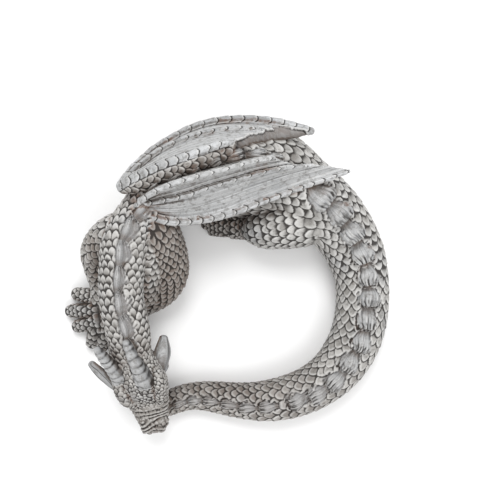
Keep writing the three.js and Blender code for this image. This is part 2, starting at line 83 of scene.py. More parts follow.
# A fin's rows run from its root to its free tip: place along it and height in shares of the fin, its half
# width in shares and its half thickness in mm. The neck has upright blades, and the back and tail have
# broad tufts that lean back.
BLADE = [(-0.62, -0.3, 0.6, 4.0), (-0.3, -0.06, 1.0, 4.8), (0.02, 0.1, 1.05, 4.8), (0.32, 0.26, 0.8, 4.0),
         (0.52, 0.42, 0.5, 2.6)]
TUFT = [(-0.5, -0.45, 0.5, 1.8), (-0.25, -0.2, 0.75, 2.4), (0.0, 0.06, 1.0, 2.6), (0.24, 0.36, 1.12, 2.4),
        (0.42, 0.64, 0.95, 1.5)]
# Stretches that carry fins: the form, from, to, a fin's half width over the form's, its rows, its height in
# shares, and how far the skin is bare on its right and left side, in its own half widths.
FIN_STRETCHES = [
    (SPINE, 1.3, 7.4, 0.16, BLADE, 1.15, (2.7, 1.3)),
    (BACK_RIDGE, 0.9, 5.2, 0.4, TUFT, 1.0, (1.1, 1.1)),
    (SPINE, 14.2, 24.3, 0.37, TUFT, 1.1, (1.05, 1.05)),
    (SPINE, 24.7, 30.5, 0.28, TUFT, 0.6, (1.1, 1.1)),
]
LAST_NECK_ROW = 8
FIN_PITCH = 18.3
FIN_HEIGHT = 8
# Fins are smaller where the body is thin.
SMALLEST_FIN = 0.45
GROWS_OVER = 40
BREAST = [
    (-60, 44, 36, 14, 30), (-72, 31, 34, 17, 32), (-76, 8, 29, 18, 30), (-77, -14, 24, 15, 25),
    (-77, -32, 20, 13, 21), (-73, -54, 16, 11, 17), (-68, -76, 13, 10, 14), (-64, -96, 9, 8, 10),
]
SHOULDER = [
    (-62, 42, 50, 15, 20), (-60, 24, 44, 15, 21), (-60, 4, 36, 14, 20), (-63, -14, 27, 12, 18),
]
FLANK = [
    (66, 58, 27, 16, 22), (44, 58, 27, 20, 25), (20, 61, 27, 18, 25), (-6, 60, 27, 14, 24),
    (-26, 56, 28, 10, 20),
]
OUTER_FORELEG = [
    (-69, 37, 54, 10, 13), (-79, 31.5, 53, 13.5, 15.5), (-90, 25, 44, 13.5, 14.5),
    (-98, 16, 34, 12.3, 12.5), (-99, 3, 25, 9.8, 10), (-98, -9, 17, 8.2, 9), (-98, -21, 10, 9, 9),
]
INNER_FORELEG = [
    (-60, 44, 52, 14, 15), (-55, 36, 53, 17, 16), (-51, 25, 46, 17.5, 17), (-48, 12, 37, 18, 16),
    (-48, -1, 28, 17.5, 15), (-55, -12, 21, 15.5, 13), (-66, -21, 16, 12, 11), (-78, -30, 12, 10, 9.5),
    (-89, -37, 10, 10, 9),
]
INNER_THIGH = [
    (78, 46, 28, 15, 15), (62, 41, 31, 19, 20.5), (44, 38, 30, 18.5, 22), (28, 35, 25, 15.5, 18.5),
    (20.5, 34.5, 20, 11, 12),
]
INNER_FOOT = [(26, 33, 16, 11, 11), (18, 37, 10, 10, 10), (6, 38.5, 8.5, 10.5, 8)]
OUTER_THIGH = [
    (60, 80, 30, 14, 16), (46, 90, 31, 15.5, 20), (35, 98.5, 28, 16.5, 19), (22, 101.5, 23, 13, 15),
]
OUTER_FOOT = [(24, 101, 14, 10, 11), (14, 105, 9, 9.5, 9), (2, 107, 8, 9.5, 7.5)]
TOE_RADIUS = 5.8
TOE_SHARES = [(1, 1), (1, 1.1), (0.8, 0.75)]
FORE_TOES = [
    [(-99, -19, 8), (-110, -17.5, 8), (-120.5, -16, 5)],
    [(-100, -28, 8.5), (-113, -29, 8.5), (-125.5, -30, 5)],
    [(-99, -36, 8), (-110, -39.5, 8), (-120, -42.5, 5)],
    [(-98, -38, 8), (-104.5, -47, 8), (-107.5, -56.5, 5)],
    [(-92, -40, 8.5), (-97, -49, 8.5), (-99, -59, 5)],
    [(-86, -40, 8.5), (-88.5, -53, 8.5), (-88.5, -66, 5)],
]
HIND_TOES = [
    [(8, 43, 7), (-2, 45.5, 7), (-14, 46.5, 4)],
    [(6, 39, 7.5), (-4, 39.5, 7.5), (-17, 39.5, 4)],
    [(8, 36, 7), (0, 35, 7), (-12, 35, 4)],
    [(4, 103, 7), (-5, 101, 7), (-16, 99.5, 4)],
    [(2, 107, 7.5), (-8, 107, 7.5), (-20, 106.5, 4)],
    [(4, 110, 7), (-4, 112, 6.5), (-15, 113, 4)],
]

# Wing fingers run from the wrist to their tips: leading, middle and top one. The skin is cut back between
# them, and from hollow_from on the arm is a torn hollow.
OUTER_WING = {
    "fingers": [
        [(-76, 63.5, 71), (-68.5, 75, 66), (-61, 83, 62), (-54, 90, 59), (-44, 97, 57), (-28, 106, 55),
         (-11.5, 111.5, 54), (5, 113.5, 54), (22, 113, 56), (39, 110, 60), (51, 106, 64), (61, 102, 68)],
        [(-75, 64, 73), (-61, 78.5, 71), (-45.5, 89.5, 71), (-24.5, 98, 72), (-4, 102.5, 73),
         (11, 103.5, 74), (24, 102, 75)],
        [(-73, 63.5, 76), (-59, 68.5, 83), (-44, 74.5, 89), (-28, 80, 93), (-12.5, 85.5, 95), (0, 90, 93)],
    ],
    "arm": [(-74, 62, 71, 5, 5), (-64.5, 64.5, 74, 7, 8), (-53.5, 68, 76, 8.5, 11), (-38, 74, 79, 9.5, 13),
            (-20, 80, 80, 10, 14), (2, 87, 76, 10, 13), (24, 98, 67, 8, 8), (42, 101, 63, 6, 5),
            (57, 102, 66, 4, 4)],
    "cut_back": [(0.2, 0.6), (0.09, 1.0)],
    "hollow_from": 4,
    "cuff_pitch": (10, 9.8, 7.7),
    "radius": [(2.2, 2.6), (1.8, 1.2), (2.7, 2.0)],
    "tick_shadow_strength": (0.45, 0.8, 1.0),
    # Painted light: how far the wing's skin and fingers are painted towards the lit blue.
    "light": 0.62,
}
INNER_WING = {
    "fingers": [
        [(-62.5, 48, 75), (-59, 42.5, 71), (-51.5, 39.5, 68), (-38, 37, 65), (-20, 38, 63.5),
         (2.5, 43, 63.5), (19.5, 49.5, 64), (35.5, 55, 64.5), (54.5, 62, 65.5), (74.5, 68.5, 68),
         (87.5, 73, 71)],
        [(-62, 48.5, 76), (-48, 50.5, 80), (-28.5, 54, 85), (-13.5, 59, 87), (8.5, 65.5, 87),
         (26, 70.5, 85), (42.5, 74, 82), (54, 75.5, 79)],
        [(-61.5, 49.5, 77), (-54, 54, 85), (-42.5, 59, 92), (-26.5, 64, 96), (-10.5, 68, 98),
         (2.5, 71.5, 98), (18, 76, 96), (33, 79.5, 91)],
    ],
    "arm": [(-60, 50, 70, 6, 5), (-50, 52, 70, 8, 8), (-36, 53, 70, 9, 10), (-18, 57, 69, 9, 12),
            (4, 62.5, 66, 7.5, 12), (24, 67.5, 65, 7.5, 10), (42, 71, 63, 7, 8), (60, 70, 64, 6, 5),
            (76, 70.5, 67, 4, 2.5)],
    "cut_back": [(0.0, 1.0), (0.05, 1.0)],
    "hollow_from": 45,
    "cuff_pitch": (8.5, 10.4, 10.4),
    "radius": [(3.2, 1.2), (1.7, 1.1), (1.7, 1.1)],
    "tick_shadow_strength": (0.6, 0.55, 0.75),
    # Painted light, stronger on this wing, which faces away from the key light.
    "light": 0.88,
}
MEMBRANE_THICKNESS = 3
MEMBRANE_SAG = 2.4
CUFF_STEP = 0.5
# Folds of the wing's skin: how many run across it, how high they are, and how far they wander.
WING_FOLDS = [(6.5, 0.3, 0.3), (17, 0.14, 0.5)]
ARM_SCALE = 6.2

# The head is written in its own frame: forwards to the nose, to the dragon's right, and up.
NAPE = np.array([-68.0, -62.0, 52.0])
NOSE = np.array([-54.0, -120.5, 24.0])
HEAD_ROLL = 6
SKULL = [
    (-8, 0, 0, 12, 12), (2, 0, 1, 15, 13.5), (12, 0, 1, 18, 14), (22, 0, 0, 19, 13.5), (31, 0, -1, 18, 12),
    (39, 0, -1, 15.5, 9.5), (47, 0, -0.5, 13, 7.8), (55, 0, 0, 11.3, 7.2), (61, 0, 0.5, 10, 6.5),
]
JAW = [
    (4, 0, -9, 13, 6), (18, 0, -11, 15, 6.5), (32, 0, -10, 13.5, 5.5), (45, 0, -9, 10.5, 4.5),
    (57, 0, -8, 8, 3.5),
]
BROW = [(9, 15, 8.5, 3.5, 3.5), (20, 15, 10.5, 4.2, 4), (30, 13, 9.5, 4, 3.6), (38, 9.5, 6, 2.5, 2.5)]
NOSTRIL = [(54, 5, 5.5, 3, 2.6), (59, 5.5, 6, 3.4, 3.2), (63, 5, 4.5, 2.6, 2.6)]
CHEEK = [(16, 16, -6, 5, 6), (6, 20, -6, 3.6, 4.2), (-4, 23, -5, 1.2, 1.5)]
EYE = (32, 14.5, 3)
EYE_RADIUS = 3.2
HORNS = [
    [(-57.5, -85, 46), (-61, -75.5, 59), (-66, -62, 69.5), (-70.6, -49, 76.5)],
    [(-76.5, -82, 46), (-81, -72, 58), (-87, -61.5, 68), (-91.3, -54.5, 74)],
]
HORN_RADII = [(7.0, 3.0), (6.6, 3.0)]
HORN_RINGS = 8
HORN_RING_HEIGHT = 0.6
EARS = [
    ([(-53, -80, 38), (-50, -69, 45), (-47.5, -58, 49), (-46.5, -47.5, 51.5)], (0.35, 0.2, 1)),
    ([(-79, -89, 38), (-86.5, -81.5, 43.5), (-94.5, -73, 47.5), (-100, -67, 50)], (-0.8, -0.5, 0.7)),
]
EAR_SIZES = [(3.9, 3.6), (5.8, 3.6), (6.5, 3.4), (3.3, 2.8)]
EAR_DEPTH = 2.2
SNOUT_STARTS = 36
SNOUT_FOLD_PITCH = 4.2
SNOUT_FOLD_HEIGHT = 1.1
CROWN_SCALE = 2.9
CHEEK_SCALE = 3.8

# A scale in its own half sizes: how pointed its free end is (1 is a triangle, 2 is round), how far back it
# starts, and how far in from its edge it curves.
ARCH = 1.65
SCALE_BACK = 1.35
SCALE_EDGE = 0.24
# Carving lower than this holds the dark wash, which also paints the shade at the roots of the scales.
ROOT_HEIGHT = 0.7


def unit(vectors):
    return vectors / np.maximum(np.linalg.norm(vectors, axis=-1, keepdims=True), 1e-12)


def share(value):
    return np.clip(value, 0, 1)


def rising(value, start, over):
    """0 up to the start, then rising to 1 over a stretch."""
    return share((value - start) / over)


def falling(value, end, over):
    """Falling from 1 over a stretch, then 0 from the end on."""
    return share((end - value) / over)


def close(value, to, within):
    """1 at a value, falling to 0 on both sides of it."""
    return share(1 - np.abs(value - to) / within)


def beside(along, up, cosine, sine):
    """The side and top of something that runs along, rolled by an angle."""
    side = unit(np.cross(along, up))
    top = np.cross(side, along)
    return side * cosine - top * sine, top * cosine + side * sine


class Run:
    """A smooth line through the rows of a form, with the form's sizes and roll."""

    def __init__(self, rows, up=UP):
        self.rows = np.array([(tuple(row) + (1, 1, 0)[len(row) - 3:]) for row in rows], float)
        self.up = np.array(up, float)
        self.last = len(rows) - 1
        fine = np.linspace(0, self.last, self.last * STEPS + 1)
        steps = np.linalg.norm(np.diff(self.at(fine).middle, axis=0), axis=1)
        self.fine = fine
        self.lengths = np.concatenate([[0], np.cumsum(steps)])
        self.length = self.lengths[-1]

    def at(self, t):
        t = np.clip(np.atleast_1d(np.asarray(t, float)), 0, self.last)
        i = np.minimum(t.astype(int), self.last - 1)
        f = (t - i)[:, None]
        ends = (2 * self.rows[0] - self.rows[1], 2 * self.rows[-1] - self.rows[-2])
        rows = np.vstack([ends[0], self.rows, ends[1]])
        a, b, c, d = (rows[i + k] for k in range(4))
        value = b + 0.5 * f * ((c - a) + f * ((2 * a - 5 * b + 4 * c - d) + f * (3 * b - a - 3 * c + d)))
        slope = (c - a) + f * (2 * (2 * a - 5 * b + 4 * c - d) + f * 3 * (3 * b - a - 3 * c + d))
        along = unit(slope[:, :3])
        roll = np.radians(value[:, 5:6])
        side, top = beside(along, self.up, np.cos(roll), np.sin(roll))
        return SimpleNamespace(middle=value[:, :3], along=along, side=side, top=top,
                               wide=value[:, 3], high=value[:, 4])

    def at_length(self, s):
        return np.interp(s, self.lengths, self.fine)

    def station(self, t):
        return SimpleNamespace(**{name: value[0] for name, value in vars(self.at(t)).items()})


def loft(rings):
    """One closed skin through rings given as (middle, side, top, half width, half height)."""
    bm = bmesh.new()
    loops = []
    for i, (middle, side, top, wide, high) in enumerate(rings):
        facing = np.cross(side, top)
        matrix = Matrix(np.column_stack([side * wide, top * high, facing, middle]).tolist()
                        + [[0, 0, 0, 1]])
        made = bmesh.ops.create_circle(bm, cap_ends=i in (0, len(rings) - 1), radius=1,
                                       segments=SIDES, matrix=matrix)
        loops.append({e for v in made["verts"] for e in v.link_edges})
    for near, far in zip(loops, loops[1:]):
        bmesh.ops.bridge_loops(bm, edges=list(near | far))
    bmesh.ops.recalc_face_normals(bm, faces=bm.faces)
    return bm


def limb(rows, spacing=4, up=UP, start=0, stop=None):
    """A smooth closed form along its rows, with rounded ends. Start and stop are lengths along it."""
    path = rows if isinstance(rows, Run) else Run(rows, up)
    stop = path.length if stop is None else stop
    count = max(3, round((stop - start) / spacing))
    places = path.at(path.at_length(np.linspace(start, stop, count + 1)))
    rings = list(zip(places.middle, places.side, places.top, places.wide, places.high))
    turn = np.radians([30, 55, 75, 88])

    def cap(ring, along, sign):
        middle, side, top, wide, high = ring
        reach = 0.8 * min(wide, high)
        return [(middle + sign * along * reach * math.sin(a), side, top, wide * math.cos(a),
                 high * math.cos(a)) for a in turn]

    first = cap(rings[0], places.along[0], -1)[::-1]
    last = cap(rings[-1], places.along[-1], 1)
    return loft(first + rings + last)


def tapered(rows, radii):
    radius = np.linspace(radii[0], radii[1], len(rows))
    return [row + (r, r) for row, r in zip(rows, radius)]


def toe(rows):
    return [row + (TOE_RADIUS * wide, TOE_RADIUS * high) for row, (wide, high) in zip(rows, TOE_SHARES)]


def fin_places():
    """Where the fins of the crest stand, with their sizes."""
    fins = []
    for rows, start, stop, width, outline, height, flank in FIN_STRETCHES:
        path = Run(rows)
        t = start
        while t < stop:
            place = path.station(t)
            size = min(1, SMALLEST_FIN + place.wide / GROWS_OVER)
            place.long = FIN_PITCH * size
            place.broad = place.wide * width
            place.reached = np.interp(t, path.fine, path.lengths)
            place.on_tail = rows is SPINE and start > LAST_NECK_ROW
            place.outline, place.flank = outline, flank
            skew = place.side * place.broad * draw.uniform(-0.12, 0.12)
            place.foot = place.middle + place.top * (place.high - 0.4) + skew
            place.tall = FIN_HEIGHT * size * height * draw.uniform(0.85, 1.1)
            fins.append(place)
            t = path.at_length(place.reached + FIN_PITCH * size)
    return fins


def leaf(place):
    """The middle line of one fin, from its root to its raised tip."""
    rows = []
    for along, over, wide, thick in place.outline:
        spot = place.foot + place.along * place.long * along + place.top * place.tall * over
        rows.append(tuple(spot) + (place.broad * wide, thick))
    return Run(rows, place.top)


def membrane_point(paths, cut_back, u, v):
    """A point of the wing's skin: u runs out from the wrist, v from the leading to the top finger."""
    gap = min(int(v * 2), 1)
    local = v * 2 - gap
    depth, skew = cut_back[gap]
    reach = 1 - depth * abs(math.sin(math.pi * local ** skew))
    ends = [path.station(u * reach * path.last).middle for path in paths[gap:gap + 2]]
    return ends[0] * (1 - local) + ends[1] * local, 1 - (2 * local - 1) ** 2


def membrane(wing, along=56, across=24):
    """The wing's skin as a grid of places, facing out, and its sag between the fingers."""
    paths = [Run(rows) for rows in wing["fingers"]]
    places = np.zeros((along + 1, across + 1, 3))
    sag = np.zeros((along + 1, across + 1))
    for i in range(along + 1):
        for j in range(across + 1):
            places[i, j], sag[i, j] = membrane_point(paths, wing["cut_back"], i / along, j / across)
    facing = unit(np.cross(np.gradient(places, axis=0), np.gradient(places, axis=1)))
    facing *= np.where(facing[..., 2:3] < 0, -1, 1)
    growing = np.minimum(1, 0.35 + 3 * np.linspace(0, 1, along + 1))[:, None]
    places -= facing * (sag * growing * MEMBRANE_SAG)[..., None]
    return places, facing


def skin_sheet(places, facing):
    """A sheet laid over a grid of places and given its thickness underneath."""
    rows, columns = places.shape[:2]
    bm = bmesh.new()
    made = bmesh.ops.create_grid(bm, x_segments=rows - 1, y_segments=columns - 1, size=1)
    verts = sorted(made["verts"], key=lambda v: (round(v.co.x, 4), round(v.co.y, 4)))
    for vert, place in zip(verts, places.reshape(-1, 3)):
        vert.co = place
    bm.normal_update()
    middle = verts[(rows // 2) * columns + columns // 2]
    if middle.normal.dot(Vector(facing[rows // 2, columns // 2])) < 0:
        bmesh.ops.reverse_faces(bm, faces=bm.faces)
        bm.normal_update()
    bmesh.ops.solidify(bm, geom=bm.faces[:], thickness=MEMBRANE_THICKNESS)
    bmesh.ops.recalc_face_normals(bm, faces=bm.faces)
    return bm


def ball(place, radius):
    bm = bmesh.new()
    bmesh.ops.create_uvsphere(bm, u_segments=20, v_segments=12, radius=radius,
                              matrix=Matrix.Translation(place))
    return bm


def head_frame():
    forwards = unit(NOSE - NAPE)
    roll = math.radians(HEAD_ROLL)
    return (forwards,) + beside(forwards, UP, math.cos(roll), math.sin(roll))


def on_head(rows, side=1):
    forwards, right, top = head_frame()
    return [tuple(NAPE + forwards * f + right * s * side + top * u) + tuple(sizes)
            for f, s, u, *sizes in rows]


def as_mesh(name, bm):
    mesh = bpy.data.meshes.new(name)
    bm.to_mesh(mesh)
    bm.free()
    return mesh


def as_object(name, data):
    obj = bpy.data.objects.new(name, data)
    scene.collection.objects.link(obj)
    return obj


def fused(name, parts, fineness):
    """Joins closed forms into one even skin, in metres and in the statue's own frame."""
    whole = bmesh.new()
    for part in parts:
        mesh = as_mesh("part", part)
        whole.from_mesh(mesh)
        bpy.data.meshes.remove(mesh)
    bmesh.ops.scale(whole, verts=whole.verts, vec=(MM, MM, MM))
    bmesh.ops.translate(whole, verts=whole.verts, vec=Vector(RING_MIDDLE * MM))
    obj = as_object(name, as_mesh(name, whole))
    fuse = obj.modifiers.new("fuse", "REMESH")
    fuse.mode = "VOXEL"
    fuse.voxel_size = fineness[0] * MM
    even = obj.modifiers.new("even", "SMOOTH")
    even.factor = 0.5
    even.iterations = fineness[1]
    settle(obj)
    return obj


def settle(obj):
    """Makes the modified shape the object's own mesh."""
    graph = bpy.context.evaluated_depsgraph_get()
    mesh = bpy.data.meshes.new_from_object(obj.evaluated_get(graph), preserve_all_data_layers=True,
                                           depsgraph=graph)
    obj.modifiers.clear()
    old = obj.data
    obj.data = mesh
    bpy.data.meshes.remove(old)
    mesh.name = obj.name


def read_skin(obj):
    """The points of a skin in millimetres, and its normals."""
    found = []
    for data, name in ((obj.data.vertices, "co"), (obj.data.vertex_normals, "vector")):
        values = np.empty(len(data) * 3, np.float32)
        data.foreach_get(name, values)
        found.append(values.reshape(-1, 3).astype(float))
    return found[0] / MM, found[1]


def tree_of(places):
    tree = KDTree(len(places))
    for i, place in enumerate(places):
        tree.insert(place, i)
    tree.balance()
    return tree


class Cells:
    """Finds the points of a skin near a place."""

    def __init__(self, points, size):
        self.size = size
        self.low = points.min(0)
        cell = self.cell(points)
        self.dims = cell.max(0) + 3
        keys = self.key(*cell.T)
        self.order = np.argsort(keys, kind="stable")
        self.keys = keys[self.order]

    def cell(self, places):
        return ((places - self.low) / self.size).astype(np.int64) + 1

    def key(self, x, y, z):
        return (x * self.dims[1] + y) * self.dims[2] + z

    def near(self, place, reach):
        low, high = (np.clip(self.cell(end), 0, self.dims - 1) for end in (place - reach, place + reach))
        x, y = np.meshgrid(np.arange(low[0], high[0] + 1), np.arange(low[1], high[1] + 1))
        starts, stops = (np.searchsorted(self.keys, self.key(x.ravel(), y.ravel(), z), side)
                         for z, side in ((low[2], "left"), (high[2], "right")))
        return self.order[np.concatenate([np.arange(a, b) for a, b in zip(starts, stops)])]


# Scales

def scale_rows(group, rows, width, start=0, stop=None, pitch=0.72, long=1.55, lift=1.35, slant=0.0):
    """Staggered rows of scales round a form, each with its free tip away from the form's root."""
    path = rows if isinstance(rows, Run) else Run(rows)
    s = np.interp(start, path.fine, path.lengths)
    end = path.length if stop is None else np.interp(stop, path.fine, path.lengths)
    scales = []
    row = 0
    while s < end:
        t = path.at_length(s)
        place = path.station(t)
        wide, high = place.wide, place.high
        size = np.interp(t, *width) if isinstance(width, tuple) else width
        count = max(6, round(math.pi * (wide + high) / size))
        for j in range(count):
            own = draw.uniform(-1, 1, 5)
            angle = 2 * math.pi * (j + 0.5 * (row % 2) + 0.13 * own[3]) / count + math.pi / 2
            here = path.station(path.at_length(s + slant * math.cos(angle) + 0.08 * size * own[4]))
            outwards = here.side * math.cos(angle) / wide + here.top * math.sin(angle) / high
            spot = here.middle + here.side * wide * math.cos(angle) + here.top * high * math.sin(angle)
            sizes = np.array([size * 1.06, size * long, lift]) * (1 + 0.07 * own[:3])
            scales.append((group, spot, here.along, unit(outwards)) + tuple(sizes))
        s += size * pitch
        row += 1
    return scales


def pebbles(points, normals, keep, spacing, lift, along):
    """Small scales strewn evenly over the kept part of a skin, with their free tips all one way."""
    chosen = np.flatnonzero(keep)
    draw.shuffle(chosen)
    steps = [(i, j, k) for i in (-1, 0, 1) for j in (-1, 0, 1) for k in (-1, 0, 1)]
    apart = (0.86 * spacing) ** 2
    sown = []
    cells = {}
    for index in chosen:
        spot = points[index]
        x, y, z = (spot / spacing).astype(int)
        around = [cells.get((x + i, y + j, z + k)) for i, j, k in steps]
        if all(other is None or np.sum((spot - other) ** 2) > apart for other in around):
            cells[(x, y, z)] = spot
            sown.append((spot, index))
    scales = []
    for spot, index in sown:
        normal = normals[index]
        own = along + draw.normal(size=3) * 0.25
        size = spacing * draw.uniform(0.85, 1.35)
        scales.append((spot, unit(own - normal * (own @ normal)), normal, size, 1.5 * size, lift))
    return scales


def snapped(obj, scales, reach=2.6, apart=0.55):
    """Lays scales on the skin. Those buried in another form, or crowding one already laid, are left out."""
    bm = bmesh.new()
    bm.from_mesh(obj.data)
    skin = BVHTree.FromBMesh(bm)
    bm.free()
    laid = []
    spots = np.zeros((len(scales), 3))
    groups = np.zeros(len(scales), int)
    for group, spot, along, normal, width, long, lift in scales:
        hit, facing, _, distance = skin.find_nearest(Vector((spot + RING_MIDDLE) * MM))
        if hit is None or distance > reach * MM or hit.z < 1.2 * MM or np.array(facing) @ normal < 0.6:
            continue
        spot = np.array(hit) / MM
        count = len(laid)
        others = spots[:count][groups[:count] != group]
        if len(others) and np.min(np.sum((others - spot) ** 2, axis=1)) < (apart * width) ** 2:
            continue
        facing = unit(0.5 * np.array(facing) + 0.5 * normal)
        along = unit(along - facing * (along @ facing))
        spots[count] = spot
        groups[count] = group
        laid.append((spot, along, facing, width, long, lift))
    return laid


def press(points, normals, scales, bare, edge=SCALE_EDGE):
    """The height of the scales over a skin, and each scale's own tone."""
    height = np.zeros(len(points))
    tone = np.full(len(points), 0.5)
    cells = Cells(points, 3.0)
    for spot, along, facing, width, long, lift in scales:
        half_long = long / 2
        half_wide = width / 2
        near = cells.near(spot, max(half_long * SCALE_BACK, half_wide))
        offset = points[near] - spot
        x = offset @ along / half_long
        y = offset @ np.cross(facing, along) / half_wide
        arch = (np.abs(x) ** ARCH + np.abs(y) ** ARCH) ** (1 / ARCH)
        inside = np.where(x > 0, 1 - arch, 1 - np.abs(y))
        slope = np.clip((x + 0.9) / 1.7, 0.04, 1)
        dome = 1 - (1 - share(inside / edge)) ** 2
        on_scale = (inside > 0) & (x > -SCALE_BACK)
        same_side = (np.abs(offset @ facing) < 0.7 * width) & (normals[near] @ facing > 0.15)
        value = np.where(on_scale & same_side, lift * slope * dome, 0)
        higher = value > height[near]
        height[near[higher]] = value[higher]
        tone[near[higher]] = draw.uniform()
    height *= 1 - bare
    return height, tone


def along_form(points, path, samples=120):
    """Where skin points lie on a form: how far along it, to its side, to its top, and how far out."""
    t = path.at_length(np.linspace(0, path.length, samples))
    places = path.at(t)
    best = np.full(len(points), np.inf)
    which = np.zeros(len(points), int)
    for i in range(samples):
        distance = np.sum((points - places.middle[i] - RING_MIDDLE) ** 2, axis=1)
        closer = distance < best
        best[closer] = distance[closer]
        which[closer] = i
    offset = points - places.middle[which] - RING_MIDDLE
    ahead = np.sum(offset * places.along[which], axis=1)
    s = np.linspace(0, path.length, samples)[which] + ahead
    side = np.sum(offset * places.side[which], axis=1) / places.wide[which]
    top = np.sum(offset * places.top[which], axis=1) / places.high[which]
    return s, side, top, np.hypot(side, top)


def over_neighbours(obj, height, rounds=8):
    """How far each point of a skin stands over the carving around it. Less than nothing in a groove."""
    pairs = np.empty(len(obj.data.edges) * 2, np.int32)
    obj.data.edges.foreach_get("vertices", pairs)
    a, b = pairs.reshape(-1, 2).T
    count = len(height)
    shared = np.bincount(a, minlength=count) + np.bincount(b, minlength=count)
    even = height.copy()
    for _ in range(rounds):
        total = np.bincount(a, even[b], count) + np.bincount(b, even[a], count)
        even = 0.4 * even + 0.6 * total / np.maximum(shared, 1)
    return height - even


def write_field(obj, name, values):
    field = obj.data.attributes.get(name) or obj.data.attributes.new(name, "FLOAT", "POINT")
    field.data.foreach_set("value", np.asarray(values, np.float32))


def carve(obj, points, normals, height, fields, of=None, groove=0.16, wash_and_shade=1.0):
    """Carves a skin, keeps it off the floor, and notes the fields for the finish."""
    of = height if of is None else of
    bare = fields.get("bare", 0)
    proud = over_neighbours(obj, of)
    scaly = 1 - 0.45 * bare * (fields.get("crossed", 0) == 0)
    root = 0.32 * share(1 - of / ROOT_HEIGHT) * (1 - bare)
    # The crevices and the roots of the scales are painted dark: a dark wash and painted shade.
    wash_and_shade_amount = wash_and_shade * (root + share(-proud / groove) * scaly)
    fields["gap"] = share(fields.get("gap", 0) + wash_and_shade_amount)
    fields["worn"] = share(proud / groove) * (1 - 0.6 * fields["stain_and_shade"])
    moved = points + normals * height[:, None]
    moved[:, 2] = np.maximum(moved[:, 2], 0)
    obj.data.vertices.foreach_set("co", (moved * MM).astype(np.float32).ravel())
    for name, values in fields.items():
        write_field(obj, name, values)
    obj.data.update()


def thinned(obj, most):
    """Spends the triangles where the carving needs them."""
    obj.data.calc_loop_triangles()
    count = len(obj.data.loop_triangles)
    if count > most:
        fewer = obj.modifiers.new("fewer", "DECIMATE")
        fewer.ratio = most / count
        fewer.use_collapse_triangulate = True
        settle(obj)
    obj.data.polygons.foreach_set("use_smooth", np.ones(len(obj.data.polygons), bool))
    return obj


def waves(points, scale, seed):
    """Slow, smooth unevenness between -1 and 1."""
    source = np.random.default_rng(seed)
    total = np.zeros(len(points))
    for _ in range(5):
        direction = source.normal(size=3)
        total += np.sin(points @ direction / scale + source.uniform(0, 6.3))
    return total / 5


# Body and tail. They are two skins of one form, which cross just before the root of a tail fin. Each runs
# on inside the other and sinks below it, so that no seam shows.

CROSSING_FIN = 5
HIDDEN_OVERLAP = 14
BLEND = 5
SUNK = 0.9
# Width of the scales, and strength of the brown and of the dark wash and painted shade in the crevices, by
# rows of the spine.
SCALE_WIDTHS = ([0, 6, 8, 12, 17, 23, 28, 32], [6.0, 6.2, 7.2, 8.4, 8.4, 8.0, 6.4, 4.6])
PATINA = ([0, 1, 2, 6, 9, 20, 24, 28, 32], [1.0, 0.9, 0.45, 0.3, 0.1, 0.15, 0.7, 0.95, 0.9])
NECK_WASH_AND_SHADE = ([0, 1, 2, 6, 9], [1.3, 1.1, 0.78, 0.78, 1.0])
# Scale width on each form beside the spine.
BODY_FORMS = [(BACK_RIDGE, 7.4), (INNER_THIGH, 6.8), (OUTER_THIGH, 7.5), (FLANK, 7.2), (SHOULDER, 6.0),
              (BREAST, 6.2)]
# How close a fin's coarse and fine ribs stand, and the streaks of the painted shade at its tip.
FIN_RIBS = (8.0, 19)
TIP_SHADE_STREAKS = 15

spine = Run(SPINE)
spine_seeds = scale_rows(0, spine, SCALE_WIDTHS, 0.2)
fins = fin_places()
leaves = [leaf(place) for place in fins]
first_behind = [k for k, place in enumerate(fins) if place.on_tail][CROSSING_FIN]
crossing = fins[first_behind].reached - 0.55 * fins[first_behind].long


def along_spine(reached, strengths):
    """A strength given by the rows of the spine, at each length along it."""
    rows, values = strengths
    return np.interp(reached, spine.lengths[[STEPS * k for k in rows]], values)


